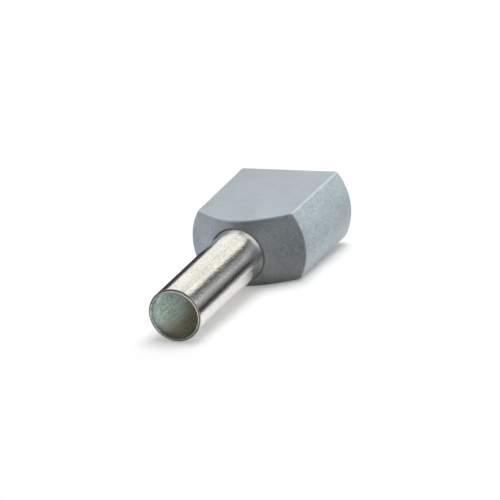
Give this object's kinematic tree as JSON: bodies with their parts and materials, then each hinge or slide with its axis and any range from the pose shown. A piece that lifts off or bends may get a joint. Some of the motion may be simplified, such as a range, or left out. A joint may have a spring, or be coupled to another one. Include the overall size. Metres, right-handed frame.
{
  "type": "twin wire ferrule",
  "caption": "Insulated end sleeve for two stranded wires: a flared metal tube seated in a flattened plastic collar with a coned front and an open mouth.",
  "frame": {"origin": "on the sleeve's axis, in the plane of the collar's front land, where the ferrule stops when it is pushed into a clamp", "axes": "+Y along the sleeve's axis from the tip to the collar's mouth, +Z square to the collar's flats, +X across the collar's width"},
  "size_m": [0.0096, 0.023, 0.0054],
  "materials": {
    "tinned_copper": "bright tin plating with faint drawn streaks",
    "grey_plastic": "fine moulded grain, soft satin sheen"
  },
  "bodies": {
    "root": {"sleeve": "tinned_copper", "collar": "grey_plastic"}
  },
  "joints": []
}
